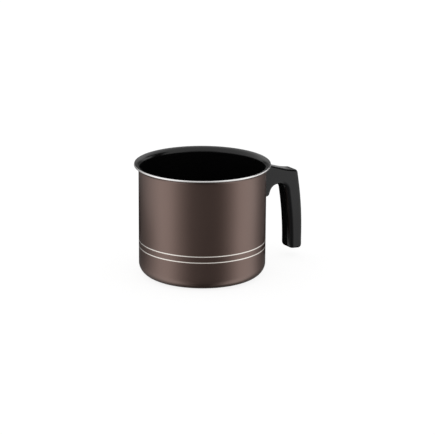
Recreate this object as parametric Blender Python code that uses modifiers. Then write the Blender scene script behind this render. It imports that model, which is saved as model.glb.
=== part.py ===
"""Milk pan: a deep round pan with a flared lip and a hanging side handle.

The pan's axis is +Z, its base stands on z = 0 and the handle points along +X.
All lengths are in metres and all angles in degrees.
"""

import math

import bmesh
import bpy
from mathutils import Matrix, Vector

# Pan
BODY_RADIUS = 0.0715          # outside of the straight wall
PAN_HEIGHT = 0.1273           # base to the top of the lip
WALL_THICKNESS = 0.0018
FLOOR_THICKNESS = 0.0020
BASE_CORNER_RADIUS = 0.0130   # outside radius between wall and base
LIP_REACH = 0.0051            # lip's edge beyond the wall's outside
LIP_BEND_RADIUS = 0.0050      # to the middle of the sheet
LIP_SWEEP_DEG = 80.0          # how far the sheet turns outwards from upright
LIP_EDGE_BREAK = 0.0003       # broken corners of the lip's cut edge

LINE_WIDTH = 0.0012           # the two scribed lines round the lower wall
LINE_DEPTH = 0.0002
UPPER_LINE_HEIGHT = 0.0398
LINE_PITCH = 0.0069

RING_GROOVE_RADIUS = 0.0150   # innermost of the grooves turned into the flat base
RING_GROOVE_PITCH = 0.0105
RING_GROOVE_WIDTH = 0.0012
RING_GROOVE_DEPTH = 0.0003
RING_GROOVES = 4

# Handle
HANDLE_TOP_DROP = 0.0089      # lip's top down to the handle's top at the wall
ARM_FALL = 0.0141             # fall of the arm's top, wall to outer corner
ARM_KNEE_SHARE = 0.79         # where along the arm its top eases off
ARM_KNEE_FALL_SHARE = 0.91    # how much of the fall lies before that knee
ARM_KNEE_RADIUS = 0.1500
PAD_HEIGHT = 0.0411           # handle's seat on the wall
PAD_THICKNESS = 0.0138        # wall to the pad's outer side at its foot
PAD_FLARE = 0.0042            # how far the pad thickens up to the arch
ARCH_DEPTH = 0.0282           # handle's top at the wall down to the arch's crown
ARCH_RADIUS = 0.0103
FINGER_GAP = 0.0425           # wall to the grip's inner side
GRIP_DEPTH = 0.0174           # inner side to outer side
GRIP_WIDTH = 0.0205
GRIP_SWEEP_DEG = 9.3          # slant of the grip's top half
GRIP_SWEEP_RADIUS = 0.3600
GRIP_BEND_DROP = 0.0585       # handle's top to the middle of the outer sweep
GRIP_INNER_BEND_DROP = 0.0725
HANDLE_LENGTH = 0.1095        # handle's top at the wall down to its tip
TIP_SLANT = 0.0014            # how far the tip's end rises to the inner side
OUTER_CORNER_RADIUS = 0.0092
TIP_OUTER_RADIUS = 0.0040
TIP_INNER_RADIUS = 0.0060
PAD_FOOT_RADIUS = 0.0040
SIDE_ROUNDING = 0.0035        # edges round both side faces
INNER_ROUNDING = 0.0055       # the same edges where the fingers lie
WALL_END_ROUNDING_SHARE = 0.60
WALL_END_WIDTH_SHARE = 0.86
SEAT_OVERLAP = 0.0030         # raw handle runs this far in before its seat is cut

# Bracket and fixings
FIT_GAP = 0.0003              # between pieces that touch
SHEET = 0.0015                # bracket's steel sheet
BRACKET_WIDTH = 0.0130
BRACKET_CORNER_RADIUS = 0.0025
BRACKET_FOOT_RISE = 0.0032    # pad's foot up to the bracket's foot
BRACKET_TOP_DROP = 0.0152     # handle's top down to the tongue's upper face
BRACKET_BEND_RADIUS = 0.0021
TONGUE_WIDTH = 0.0110
TONGUE_OVERHANG = 0.0055      # screw's axis to the tongue's end

RIVET_SHANK_RADIUS = 0.0020
RIVET_HEAD_RADIUS = 0.0038
RIVET_HEAD_HEIGHT = 0.0015
RIVET_TAIL_RADIUS = 0.0030
RIVET_TAIL_HEIGHT = 0.0012
RIVET_PITCH = 0.0105
LOWER_RIVET_RISE = 0.0048     # bracket's foot up to the lower rivet

SCREW_SHANK_RADIUS = 0.0020
SCREW_HEAD_RADIUS = 0.0036
SCREW_HEAD_HEIGHT = 0.0024
SCREW_HEAD_SINK = 0.0006      # below the crown of the arch
SCREW_TIP_STAND = 0.0015      # past the tongue's upper face
SCREW_POINT = 0.0006
SCREW_SLOT_WIDTH = 0.0009
SCREW_SLOT_LENGTH = 0.0040
SCREW_SLOT_DEPTH = 0.0012

# Fineness of the round shapes
PAN_STEPS = 96
LIP_STEPS = 6
BASE_STEPS = 6
CORNER_STEPS = 5
SWEEP_STEPS = 6
EDGE_STEPS = 4
SMALL_STEPS = 24
MERGE_DISTANCE = 0.00001
CUT_OVERRUN = 0.0020
SMOOTH_ANGLE_DEG = 35.0
ROUNDING_ROOM_SHARE = 0.98    # of a side that the roundings at its ends may take
CORNER_LIMIT_SHARE = 0.95     # of the tightest corner that a side edge's rounding may take

# Sizes that follow from those above
HANDLE_TOP = PAN_HEIGHT - HANDLE_TOP_DROP
PAD_FOOT = HANDLE_TOP - PAD_HEIGHT
ARCH_CROWN = HANDLE_TOP - ARCH_DEPTH
SEAT_RADIUS = BODY_RADIUS + FIT_GAP
BRACKET_FOOT = PAD_FOOT + BRACKET_FOOT_RISE
BRACKET_TOP = HANDLE_TOP - BRACKET_TOP_DROP
BRACKET_FACE = SEAT_RADIUS + SHEET
GRIP_SLOPE = math.tan(math.radians(GRIP_SWEEP_DEG))
ARCH_INNER = PAD_THICKNESS + PAD_FLARE
ARCH_OUTER = FINGER_GAP - (GRIP_INNER_BEND_DROP - ARCH_DEPTH) * GRIP_SLOPE
SCREW_AXIS = BODY_RADIUS + (ARCH_INNER + ARCH_OUTER) / 2
TONGUE_END = SCREW_AXIS + TONGUE_OVERHANG
RIVET_HEIGHTS = (BRACKET_FOOT + LOWER_RIVET_RISE, BRACKET_FOOT + LOWER_RIVET_RISE + RIVET_PITCH)
TAIL_FACE = BRACKET_FACE + FIT_GAP + RIVET_TAIL_HEIGHT


def turn_point(centre, radius, angle_deg):
    """Point on a circle, its angle counted from the first axis."""
    angle = math.radians(angle_deg)
    return (centre[0] + radius * math.cos(angle), centre[1] + radius * math.sin(angle))


def arc(centre, radius, start_deg, end_deg, steps):
    """Points of an arc, both ends included."""
    span = end_deg - start_deg
    return [turn_point(centre, radius, start_deg + span * i / steps) for i in range(steps + 1)]


def corner_sides(corners, i):
    """Vectors from a corner to the ones before and after it."""
    here = Vector(corners[i][:2])
    before = Vector(corners[i - 1][:2]) - here
    after = Vector(corners[(i + 1) % len(corners)][:2]) - here
    return here, before, after


def tangent_lengths(corners):
    """How much of its sides each rounding takes, cut back where two would share the same stretch."""
    lengths = []
    for i, corner in enumerate(corners):
        here, before, after = corner_sides(corners, i)
        lengths.append(corner[2] / math.tan(before.angle(after) / 2))
    fitted = list(lengths)
    for i in range(len(corners)):
        here, before, after = corner_sides(corners, i)
        for side, other in ((before, lengths[i - 1]), (after, lengths[(i + 1) % len(corners)])):
            room = side.length * ROUNDING_ROOM_SHARE
            if lengths[i] + other > room:
                fitted[i] = min(fitted[i], room * lengths[i] / (lengths[i] + other))
    return fitted


def rounded_outline(corners):
    """Closed outline from corners given as (x, y, radius, steps); a radius of zero stays sharp."""
    points = []
    for i, (length, corner) in enumerate(zip(tangent_lengths(corners), corners)):
        here, before, after = corner_sides(corners, i)
        if length == 0:
            points.append(tuple(here))
            continue
        half = before.angle(after) / 2
        middle = (before.normalized() + after.normalized()).normalized()
        centre = here + middle * (length / math.cos(half))
        first = here + before.normalized() * length - centre
        last = here + after.normalized() * length - centre
        sweep = first.angle_signed(last)
        for step in range(corner[3] + 1):
            angle = -sweep * step / corner[3]
            points.append(tuple(centre + Matrix.Rotation(angle, 2) @ first))
    return points


# Collections, materials, objects
def clear_scene():
    for obj in list(bpy.data.objects):
        bpy.data.objects.remove(obj, do_unlink=True)


def new_collection(name):
    collection = bpy.data.collections.new(name)
    bpy.context.scene.collection.children.link(collection)
    return collection


def new_material(name, colour, roughness, metallic):
    material = bpy.data.materials.new(name)
    material.use_nodes = True
    shader = material.node_tree.nodes["Principled BSDF"]
    shader.inputs["Base Color"].default_value = (*colour, 1.0)
    shader.inputs["Roughness"].default_value = roughness
    shader.inputs["Metallic"].default_value = metallic
    material.diffuse_color = (*colour, 1.0)
    return material


def add_object(name, data, collection, parent=None):
    obj = bpy.data.objects.new(name, data)
    collection.objects.link(obj)
    obj.parent = parent
    return obj


def mark_as_cutter(obj):
    obj.hide_render = True
    obj.display_type = "WIRE"
    return obj


def smooth(obj):
    obj.data.shade_smooth()
    obj.data.set_sharp_from_angle(angle=math.radians(SMOOTH_ANGLE_DEG))


# Ways of making a shape
def turned(name, profile, steps, collection, parent=None):
    """Profile in the XZ plane, turned about Z."""
    mesh = bpy.data.meshes.new(name)
    points = [(x, 0, z) for x, z in profile]
    mesh.from_pydata(points, [(i, i + 1) for i in range(len(points) - 1)], [])
    obj = add_object(name, mesh, collection, parent)
    screw = obj.modifiers.new("turn", "SCREW")
    screw.axis = "Z"
    screw.steps = steps
    screw.render_steps = steps
    screw.use_merge_vertices = True
    screw.merge_threshold = MERGE_DISTANCE
    screw.use_smooth_shade = True
    return obj


def from_bmesh(name, shape, collection, parent=None):
    mesh = bpy.data.meshes.new(name)
    shape.to_mesh(mesh)
    shape.free()
    return add_object(name, mesh, collection, parent)


def cylinder(name, radius, length, steps, collection):
    """Cylinder about Z, centred on its own origin."""
    shape = bmesh.new()
    bmesh.ops.create_cone(shape, cap_ends=True, segments=steps, radius1=radius, radius2=radius, depth=length)
    return from_bmesh(name, shape, collection)


def box(name, low, high, collection):
    """Box between two corners, its origin at its middle."""
    size = Vector(high) - Vector(low)
    shape = bmesh.new()
    bmesh.ops.create_cube(shape, size=1, matrix=Matrix.Diagonal((*size, 1)))
    obj = from_bmesh(name, shape, collection)
    obj.location = (Vector(low) + Vector(high)) / 2
    return obj


def flat_piece(name, outline, thickness, collection, parent=None):
    """Filled outline given thickness, made a mesh with one face on each side."""
    curve = bpy.data.curves.new(name, "CURVE")
    curve.dimensions = "2D"
    curve.fill_mode = "BOTH"
    curve.extrude = thickness / 2
    spline = curve.splines.new("POLY")
    spline.points.add(len(outline) - 1)
    for point, (x, y) in zip(spline.points, outline):
        point.co = (x, y, 0, 1)
    spline.use_cyclic_u = True
    drawn = add_object(name + "_outline", curve, collection)
    graph = bpy.context.evaluated_depsgraph_get()
    mesh = bpy.data.meshes.new_from_object(drawn.evaluated_get(graph))
    bpy.data.objects.remove(drawn, do_unlink=True)
    bpy.data.curves.remove(curve)
    join_caps(mesh)
    mesh.name = name
    return add_object(name, mesh, collection, parent)


def join_caps(mesh):
    """Weld the caps to the sides and make each cap a single face."""
    shape = bmesh.new()
    shape.from_mesh(mesh)
    bmesh.ops.remove_doubles(shape, verts=shape.verts, dist=MERGE_DISTANCE)
    for side in (1, -1):
        cap = [f for f in shape.faces if f.normal.z * side > 0.99]
        bmesh.ops.dissolve_faces(shape, faces=cap)
    bmesh.ops.recalc_face_normals(shape, faces=shape.faces)
    shape.to_mesh(mesh)
    shape.free()


def combine(target, tool, operation):
    modifier = target.modifiers.new(operation.lower() + " " + tool.name, "BOOLEAN")
    modifier.operation = operation
    modifier.solver = "EXACT"
    modifier.object = tool
    mark_as_cutter(tool)


# Pan
def lip_frame():
    """Bend centre of the lip and the straight tail that brings it to its reach."""
    middle = BODY_RADIUS - WALL_THICKNESS / 2
    sweep = math.radians(LIP_SWEEP_DEG)
    bend_out = LIP_BEND_RADIUS * (1 - math.cos(sweep))
    half_out = WALL_THICKNESS / 2 * math.cos(sweep)
    tail = (BODY_RADIUS + LIP_REACH - middle - bend_out - half_out) / math.sin(sweep)
    rise = LIP_BEND_RADIUS * math.sin(sweep) + tail * math.cos(sweep) + WALL_THICKNESS / 2 * math.sin(sweep)
    return (middle + LIP_BEND_RADIUS, PAN_HEIGHT - rise), tail


def lip_profile():
    """Lip from its start on the inner wall, round the cut edge, to its start on the outer wall."""
    centre, tail = lip_frame()
    along = Vector((math.sin(math.radians(LIP_SWEEP_DEG)), math.cos(math.radians(LIP_SWEEP_DEG))))
    across = Vector((along.y, -along.x))
    end_deg = 180 - LIP_SWEEP_DEG
    inner = arc(centre, LIP_BEND_RADIUS + WALL_THICKNESS / 2, 180, end_deg, LIP_STEPS)
    outer = arc(centre, LIP_BEND_RADIUS - WALL_THICKNESS / 2, end_deg, 180, LIP_STEPS)
    upper = Vector(inner[-1]) + along * tail
    lower = Vector(outer[0]) + along * tail
    edge = [
        upper - along * LIP_EDGE_BREAK,
        upper + across * LIP_EDGE_BREAK,
        lower - across * LIP_EDGE_BREAK,
        lower - along * LIP_EDGE_BREAK,
    ]
    return inner + [tuple(p) for p in edge] + outer


def line_profile(height):
    """One scribed line, cut into the outer wall, from its upper side to its lower."""
    floor = BODY_RADIUS - LINE_DEPTH
    return [
        (BODY_RADIUS, height + LINE_WIDTH / 2),
        (floor, height + LINE_WIDTH / 4),
        (floor, height - LINE_WIDTH / 4),
        (BODY_RADIUS, height - LINE_WIDTH / 2),
    ]


def base_profile():
    """Flat base from its outermost turned groove in to the middle."""
    points = []
    for i in reversed(range(RING_GROOVES)):
        middle = RING_GROOVE_RADIUS + RING_GROOVE_PITCH * i
        points += [
            (middle + RING_GROOVE_WIDTH / 2, 0),
            (middle, RING_GROOVE_DEPTH),
            (middle - RING_GROOVE_WIDTH / 2, 0),
        ]
    return points + [(0, 0)]


def pan_profile():
    """Section of the pan: inner floor, inner wall, lip, outer wall, base."""
    inner_corner = BASE_CORNER_RADIUS - WALL_THICKNESS
    corner_middle = BODY_RADIUS - BASE_CORNER_RADIUS
    floor = [(0, FLOOR_THICKNESS)]
    inner = arc((corner_middle, FLOOR_THICKNESS + inner_corner), inner_corner, -90, 0, BASE_STEPS)
    outer = arc((corner_middle, BASE_CORNER_RADIUS), BASE_CORNER_RADIUS, 0, -90, BASE_STEPS)
    lines = line_profile(UPPER_LINE_HEIGHT) + line_profile(UPPER_LINE_HEIGHT - LINE_PITCH)
    return floor + inner + lip_profile() + lines + outer + base_profile()


def make_pan(parts, cutters, parent):
    pan = turned("pan_body", pan_profile(), PAN_STEPS, parts, parent)
    for i, height in enumerate(RIVET_HEIGHTS):
        hole = cylinder("rivet_hole_%d" % (i + 1), RIVET_SHANK_RADIUS + FIT_GAP,
                        WALL_THICKNESS + 2 * CUT_OVERRUN, SMALL_STEPS, cutters)
        hole.rotation_euler = (0, math.radians(90), 0)
        hole.location = (BODY_RADIUS - WALL_THICKNESS / 2, 0, height)
        combine(pan, hole, "DIFFERENCE")
    return pan


# Handle
def sweep_corner(face, drop):
    """Corner of a gripping side where its slanted top half meets its upright lower half."""
    return (face, -drop, GRIP_SWEEP_RADIUS, SWEEP_STEPS)


def handle_outline():
    """Side view, counted outwards from the wall and up from the handle's top at the wall."""
    grip_outer = FINGER_GAP + GRIP_DEPTH
    corner = grip_outer - (GRIP_BEND_DROP - ARM_FALL) * GRIP_SLOPE
    knee = corner * ARM_KNEE_SHARE
    knee_drop = ARM_FALL * ARM_KNEE_FALL_SHARE
    start_rise = SEAT_OVERLAP * knee_drop / knee
    return rounded_outline([
        (-SEAT_OVERLAP, start_rise, 0, 0),
        (knee, -knee_drop, ARM_KNEE_RADIUS, CORNER_STEPS),
        (corner, -ARM_FALL, OUTER_CORNER_RADIUS, CORNER_STEPS),
        sweep_corner(grip_outer, GRIP_BEND_DROP),
        (grip_outer, -HANDLE_LENGTH, TIP_OUTER_RADIUS, CORNER_STEPS),
        (FINGER_GAP, -HANDLE_LENGTH + TIP_SLANT, TIP_INNER_RADIUS, CORNER_STEPS),
        sweep_corner(FINGER_GAP, GRIP_INNER_BEND_DROP),
        (ARCH_OUTER, -ARCH_DEPTH, ARCH_RADIUS, 2 * CORNER_STEPS),
        (ARCH_INNER, -ARCH_DEPTH, ARCH_RADIUS, 2 * CORNER_STEPS),
        (PAD_THICKNESS, -PAD_HEIGHT, PAD_FOOT_RADIUS, CORNER_STEPS),
        (-SEAT_OVERLAP, -PAD_HEIGHT, 0, 0),
    ])


def share_at(distance, start_share):
    """Grows evenly from the given share at the wall to one at the grip's outer side."""
    return start_share + (1 - start_share) * distance / (FINGER_GAP + GRIP_DEPTH)


def side_roundings():
    """Rounding of the side edges, outside and along the inner side, each within its tightest corner."""
    tightest = min(OUTER_CORNER_RADIUS, TIP_OUTER_RADIUS, PAD_FOOT_RADIUS)
    outer = min(SIDE_ROUNDING, tightest * CORNER_LIMIT_SHARE)
    inner = min(INNER_ROUNDING, TIP_INNER_RADIUS * CORNER_LIMIT_SHARE)
    return outer, inner


def edge_rounding(edge, side):
    """Width of the rounding on one side edge, wider the more that the edge faces the pan."""
    outer, inner = side_roundings()
    middle = (edge.verts[0].co + edge.verts[1].co) / 2
    if middle.y > -PAD_HEIGHT / 2:
        outer *= share_at(middle.x, WALL_END_ROUNDING_SHARE)
    facing = max(-side.normal.x, 0) if middle.x > 0 else 0
    return outer + (inner - outer) * facing


def taper_and_mark(mesh):
    """Narrow the arm towards the wall and weight each side edge by its rounding."""
    shape = bmesh.new()
    shape.from_mesh(mesh)
    weight = shape.edges.layers.float.new("bevel_weight_edge")
    for edge in shape.edges:
        sides = [face for face in edge.link_faces if abs(face.normal.z) < 0.5]
        if len(sides) == 1:
            edge[weight] = edge_rounding(edge, sides[0]) / max(side_roundings())
    for vertex in shape.verts:
        vertex.co.z *= share_at(vertex.co.x, WALL_END_WIDTH_SHARE)
    shape.to_mesh(mesh)
    shape.free()


def make_handle(parts, cutters, parent):
    handle = flat_piece("handle", handle_outline(), GRIP_WIDTH, parts, parent)
    taper_and_mark(handle.data)
    handle.rotation_euler = (math.radians(90), 0, 0)
    handle.location = (BODY_RADIUS, 0, HANDLE_TOP)
    rounding = handle.modifiers.new("round side edges", "BEVEL")
    rounding.limit_method = "WEIGHT"
    rounding.width = max(side_roundings())
    rounding.segments = EDGE_STEPS
    rounding.use_clamp_overlap = False
    smooth(handle)

    seat = cylinder("handle_seat", SEAT_RADIUS, PAN_HEIGHT, PAN_STEPS, cutters)
    seat.location = (0, 0, HANDLE_TOP - PAD_HEIGHT / 2)
    combine(handle, seat, "DIFFERENCE")

    inside = BODY_RADIUS - CUT_OVERRUN
    socket_half = BRACKET_WIDTH / 2 + FIT_GAP
    socket = box("bracket_socket",
                 (inside, -socket_half, BRACKET_FOOT - FIT_GAP),
                 (BRACKET_FACE + FIT_GAP, socket_half, BRACKET_TOP + FIT_GAP), cutters)
    combine(handle, socket, "DIFFERENCE")

    tail_half = RIVET_TAIL_RADIUS + FIT_GAP
    tails = box("rivet_tail_channel",
                (inside, -tail_half, RIVET_HEIGHTS[0] - tail_half),
                (TAIL_FACE + FIT_GAP, tail_half, RIVET_HEIGHTS[-1] + tail_half), cutters)
    combine(handle, tails, "DIFFERENCE")

    slot_half = TONGUE_WIDTH / 2 + FIT_GAP
    slot = box("tongue_slot",
               (inside, -slot_half, BRACKET_TOP - SHEET - FIT_GAP),
               (TONGUE_END + FIT_GAP, slot_half, BRACKET_TOP + FIT_GAP), cutters)
    combine(handle, slot, "DIFFERENCE")

    shank = cylinder("screw_clearance", SCREW_SHANK_RADIUS + FIT_GAP,
                     BRACKET_TOP - ARCH_CROWN + SCREW_TIP_STAND + 2 * FIT_GAP + CUT_OVERRUN,
                     SMALL_STEPS, cutters)
    shank.location = (SCREW_AXIS, 0,
                      (BRACKET_TOP + SCREW_TIP_STAND + 2 * FIT_GAP + ARCH_CROWN - CUT_OVERRUN) / 2)
    combine(handle, shank, "DIFFERENCE")

    head_top = ARCH_CROWN + SCREW_HEAD_SINK + SCREW_HEAD_HEIGHT + FIT_GAP
    bore_low = ARCH_CROWN - CUT_OVERRUN
    bore = cylinder("screw_head_bore", SCREW_HEAD_RADIUS + FIT_GAP, head_top - bore_low, SMALL_STEPS, cutters)
    bore.location = (SCREW_AXIS, 0, (head_top + bore_low) / 2)
    combine(handle, bore, "DIFFERENCE")
    return handle


# Bracket
def rounded_rectangle(low, high, radius, steps):
    return rounded_outline([
        (low[0], low[1], radius, steps),
        (low[0], high[1], radius, steps),
        (high[0], high[1], radius, steps),
        (high[0], low[1], radius, steps),
    ])


def make_bracket(parts, cutters, parent):
    """Curved plate on the wall with a flat tongue that runs into the arm."""
    height = BRACKET_TOP - BRACKET_FOOT
    bracket = cylinder("handle_bracket", BRACKET_FACE, height, PAN_STEPS, parts)
    bracket.parent = parent
    bracket.location = (0, 0, BRACKET_FOOT + height / 2)
    hollow = cylinder("bracket_back", SEAT_RADIUS, height + 2 * CUT_OVERRUN, PAN_STEPS, cutters)
    hollow.location = bracket.location
    combine(bracket, hollow, "DIFFERENCE")

    half = BRACKET_WIDTH / 2
    face = rounded_rectangle((-half, BRACKET_FOOT), (half, BRACKET_TOP + BRACKET_CORNER_RADIUS),
                             BRACKET_CORNER_RADIUS, CORNER_STEPS)
    plate = flat_piece("bracket_plate_outline", face, BODY_RADIUS / 2, cutters)
    plate.rotation_euler = (math.radians(90), 0, math.radians(90))
    plate.location = (BODY_RADIUS, 0, 0)
    combine(bracket, plate, "INTERSECT")

    tongue_half = TONGUE_WIDTH / 2
    plan = rounded_outline([
        (SEAT_RADIUS + SHEET / 2, -tongue_half, 0, 0),
        (SEAT_RADIUS + SHEET / 2, tongue_half, 0, 0),
        (TONGUE_END, tongue_half, BRACKET_CORNER_RADIUS, CORNER_STEPS),
        (TONGUE_END, -tongue_half, BRACKET_CORNER_RADIUS, CORNER_STEPS),
    ])
    tongue = flat_piece("bracket_tongue", plan, SHEET, cutters)
    tongue.location = (0, 0, BRACKET_TOP - SHEET / 2)
    combine(bracket, tongue, "UNION")

    bend_centre = (SEAT_RADIUS + BRACKET_BEND_RADIUS, BRACKET_TOP - BRACKET_BEND_RADIUS)
    corner = [(SEAT_RADIUS - CUT_OVERRUN, bend_centre[1])]
    corner += arc(bend_centre, BRACKET_BEND_RADIUS, 180, 90, CORNER_STEPS)
    corner += [(bend_centre[0], BRACKET_TOP + CUT_OVERRUN), (SEAT_RADIUS - CUT_OVERRUN, BRACKET_TOP + CUT_OVERRUN)]
    bend = flat_piece("bracket_bend", corner, BRACKET_WIDTH + 2 * CUT_OVERRUN, cutters)
    bend.rotation_euler = (math.radians(90), 0, 0)
    combine(bracket, bend, "DIFFERENCE")

    for i, rivet_height in enumerate(RIVET_HEIGHTS):
        hole = cylinder("bracket_rivet_hole_%d" % (i + 1), RIVET_SHANK_RADIUS + FIT_GAP,
                        SHEET + 2 * CUT_OVERRUN, SMALL_STEPS, cutters)
        hole.rotation_euler = (0, math.radians(90), 0)
        hole.location = (SEAT_RADIUS + SHEET / 2, 0, rivet_height)
        combine(bracket, hole, "DIFFERENCE")
    tapped = cylinder("bracket_screw_hole", SCREW_SHANK_RADIUS + FIT_GAP, SHEET + 2 * CUT_OVERRUN,
                      SMALL_STEPS, cutters)
    tapped.location = (SCREW_AXIS, 0, BRACKET_TOP - SHEET / 2)
    combine(bracket, tapped, "DIFFERENCE")
    return bracket


# Rivets and screw
def dome(radius, height, steps):
    """Low domed end, from its middle out to its rim, with the rim at height zero."""
    ball = (radius * radius + height * height) / (2 * height)
    half_deg = math.degrees(math.asin(radius / ball))
    return arc((0, height - ball), ball, 90, 90 - half_deg, steps)


def rivet_profile():
    """Rivet about Z: formed tail on top, shank, and domed head below."""
    inner_wall = BODY_RADIUS - WALL_THICKNESS
    seat = math.sqrt(inner_wall ** 2 - RIVET_HEAD_RADIUS ** 2) - FIT_GAP
    tail_seat = BRACKET_FACE + FIT_GAP
    tail = [(x, tail_seat + RIVET_TAIL_HEIGHT / 2 + z)
            for x, z in dome(RIVET_TAIL_RADIUS, RIVET_TAIL_HEIGHT / 2, EDGE_STEPS)]
    head = [(x, seat - z) for x, z in reversed(dome(RIVET_HEAD_RADIUS, RIVET_HEAD_HEIGHT, EDGE_STEPS))]
    head[-1] = (0, head[-1][1])
    tail[0] = (0, tail[0][1])
    middle = [(RIVET_TAIL_RADIUS, tail_seat), (RIVET_SHANK_RADIUS, tail_seat), (RIVET_SHANK_RADIUS, seat)]
    return tail + middle + head


def make_rivets(parts, parent):
    for name, height in zip(("rivet_lower", "rivet_upper"), RIVET_HEIGHTS):
        rivet = turned(name, rivet_profile(), SMALL_STEPS, parts, parent)
        rivet.rotation_euler = (0, math.radians(90), 0)
        rivet.location = (0, 0, height)


def screw_profile():
    """Pan-head screw about Z: point on top, head below, z = 0 at the head's seat."""
    shank_top = BRACKET_TOP + SCREW_TIP_STAND - (ARCH_CROWN + SCREW_HEAD_SINK + SCREW_HEAD_HEIGHT)
    head = [(x, -SCREW_HEAD_HEIGHT / 2 - z)
            for x, z in reversed(dome(SCREW_HEAD_RADIUS, SCREW_HEAD_HEIGHT / 2, EDGE_STEPS))]
    head[-1] = (0, head[-1][1])
    return [
        (0, shank_top),
        (SCREW_SHANK_RADIUS - SCREW_POINT, shank_top),
        (SCREW_SHANK_RADIUS, shank_top - SCREW_POINT),
        (SCREW_SHANK_RADIUS, 0),
        (SCREW_HEAD_RADIUS, 0),
    ] + head


def make_screw(parts, cutters, parent):
    screw = turned("handle_screw", screw_profile(), SMALL_STEPS, parts, parent)
    seat = ARCH_CROWN + SCREW_HEAD_SINK + SCREW_HEAD_HEIGHT
    screw.location = (SCREW_AXIS, 0, seat)
    low = seat - SCREW_HEAD_HEIGHT - CUT_OVERRUN
    high = seat - SCREW_HEAD_HEIGHT + SCREW_SLOT_DEPTH
    axis = screw.location.x
    long_half = SCREW_SLOT_LENGTH / 2
    wide_half = SCREW_SLOT_WIDTH / 2
    first = box("screw_slot_along", (axis - long_half, -wide_half, low), (axis + long_half, wide_half, high), cutters)
    second = box("screw_slot_across", (axis - wide_half, -long_half, low), (axis + wide_half, long_half, high),
                 cutters)
    combine(screw, first, "DIFFERENCE")
    combine(screw, second, "DIFFERENCE")
    return screw


def main():
    clear_scene()
    parts = new_collection("milk_pan")
    cutters = new_collection("milk_pan_cutters")
    root = add_object("milk_pan_origin", None, parts)
    coating = new_material("taupe coating", (0.115, 0.078, 0.066), 0.38, 0.75)
    black = new_material("black moulding", (0.012, 0.012, 0.013), 0.42, 0.0)
    steel = new_material("zinc plated steel", (0.55, 0.56, 0.58), 0.35, 1.0)
    coated_rivet = new_material("black coated rivet", (0.01, 0.01, 0.01), 0.35, 0.0)

    make_pan(parts, cutters, root)
    make_handle(parts, cutters, root)
    make_bracket(parts, cutters, root)
    make_rivets(parts, root)
    make_screw(parts, cutters, root)

    finishes = {
        "pan_body": coating,
        "handle": black,
        "handle_bracket": steel,
        "rivet_lower": coated_rivet,
        "rivet_upper": coated_rivet,
        "handle_screw": steel,
    }
    for name, material in finishes.items():
        bpy.data.objects[name].data.materials.append(material)


main()
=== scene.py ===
import math

import bmesh
import bpy
import numpy as np
from mathutils import Matrix, Vector


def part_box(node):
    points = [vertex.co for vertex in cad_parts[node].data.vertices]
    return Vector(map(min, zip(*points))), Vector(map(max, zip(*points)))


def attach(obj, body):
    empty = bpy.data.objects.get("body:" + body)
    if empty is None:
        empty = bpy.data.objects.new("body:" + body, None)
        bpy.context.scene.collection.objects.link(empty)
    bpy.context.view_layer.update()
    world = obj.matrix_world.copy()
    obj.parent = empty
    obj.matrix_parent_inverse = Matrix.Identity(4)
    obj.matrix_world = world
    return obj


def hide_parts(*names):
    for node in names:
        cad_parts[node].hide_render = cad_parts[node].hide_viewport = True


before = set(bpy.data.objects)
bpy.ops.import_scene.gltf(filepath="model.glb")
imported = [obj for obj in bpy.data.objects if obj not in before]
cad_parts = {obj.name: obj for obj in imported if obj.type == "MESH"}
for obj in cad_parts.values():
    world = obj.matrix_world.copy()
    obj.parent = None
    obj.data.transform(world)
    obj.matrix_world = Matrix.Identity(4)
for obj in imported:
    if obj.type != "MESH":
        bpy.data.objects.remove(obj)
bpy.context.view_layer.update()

# Milk pan: a coated aluminium pan with a black moulded handle that hangs at its side.
# The pan's axis is +Z, its base stands on z = 0 and the handle points along +X. Lengths are in metres.

# Pan
WALL_RADIUS = 0.0715          # outside of the straight wall
RIM_HEIGHT = 0.12729
SHEET_THICKNESS = 0.0018
FLOOR_THICKNESS = 0.0020
BASE_CORNER = 0.0130
LIP_REACH = 0.00509
LIP_BEND = 0.0050
LIP_SWEEP = math.radians(80)
EDGE_BREAK = 0.0003
LINE_HEIGHTS = (0.0398, 0.0329)
LINE_WIDTH = 0.0012
LINE_DEPTH = 0.0002
LINE_SECTION = (0, 0.08, 0.36, 1)     # where a line's flanks start and end, in shares of its width
RING_RADII = (0.0465, 0.0360, 0.0255, 0.0150)
RING_WIDTH = 0.0012
RING_DEPTH = 0.0003

# Steps of the pan's section, stretch by stretch, and of its turn about the axis
PAN_STEPS = 288
FLOOR_STEPS = 24
INNER_CORNER_STEPS = 20
INNER_WALL_STEPS = 40
INNER_LIP_STEPS = 24
FLANGE_STEPS = 2
EDGE_STEPS = 5
COATED_EDGE_POINTS = 2        # how far the inside coat reaches over the lip's upper break
OUTER_LIP_STEPS = 20
OUTER_WALL_STEPS = 36
LINE_STEPS = 16
BETWEEN_STEPS = 4
LOW_WALL_STEPS = 8
OUTER_CORNER_STEPS = 24
RING_STEPS = 8
BASE_MIDDLE_STEPS = 6

# Handle, counted outwards from the wall and down from its top at the wall
HANDLE_TOP = 0.1184
ARM_FALL = 0.0141
KNEE_SHARE = 0.79
KNEE_FALL_SHARE = 0.91
KNEE_RADIUS = 0.1500
OUTER_CORNER = 0.0092
PAD_HEIGHT = 0.0411
PAD_THICKNESS = 0.0138
PAD_FLARE = 0.0042
PAD_FOOT = 0.0040
ARCH_DEPTH = 0.0282
ARCH_RADIUS = 0.0103
FINGER_GAP = 0.0425
GRIP_DEPTH = 0.0174
GRIP_WIDTH = 0.0205
GRIP_SLOPE = math.tan(math.radians(9.3))
GRIP_SWEEP = 0.3600
OUTER_BEND = 0.0585
INNER_BEND = 0.0725
HANDLE_LENGTH = 0.1095
TIP_SLANT = 0.0014
TIP_OUTER = 0.0040
TIP_INNER = 0.0060
SIDE_ROUNDING = 0.0035
INNER_ROUNDING = 0.0055
WALL_END_ROUNDING_SHARE = 0.60
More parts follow.
